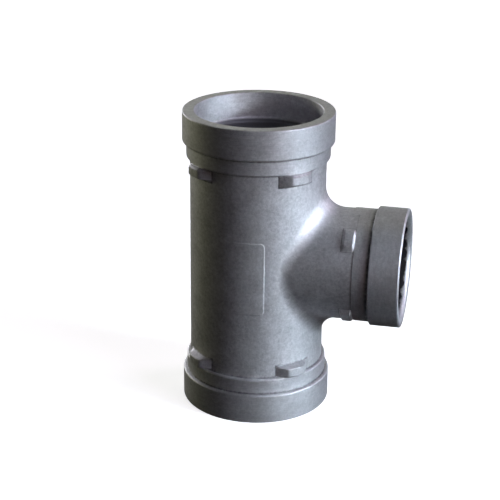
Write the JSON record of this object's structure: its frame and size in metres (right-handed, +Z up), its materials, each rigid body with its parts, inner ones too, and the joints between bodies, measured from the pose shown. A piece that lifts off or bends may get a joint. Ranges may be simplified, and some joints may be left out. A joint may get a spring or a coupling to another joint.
{
  "type": "grooved reducing tee",
  "caption": "Cast stainless tee with a straight upright run and a smaller side branch. Every end has a gasket seat, a coupling groove and corner lugs behind the groove.",
  "frame": {"origin": "the tee's centre, where the axis of the run crosses the axis of the branch", "axes": "+Z up along the run, +X out along the branch, +Y across both"},
  "size_m": [0.1142, 0.076, 0.154],
  "materials": {
    "cast_stainless": "satin cast stainless steel, shot-blasted and pickled, with faintly smoother machined end faces and seats"
  },
  "bodies": {
    "root": {"tee_casting": "cast_stainless"}
  },
  "joints": []
}
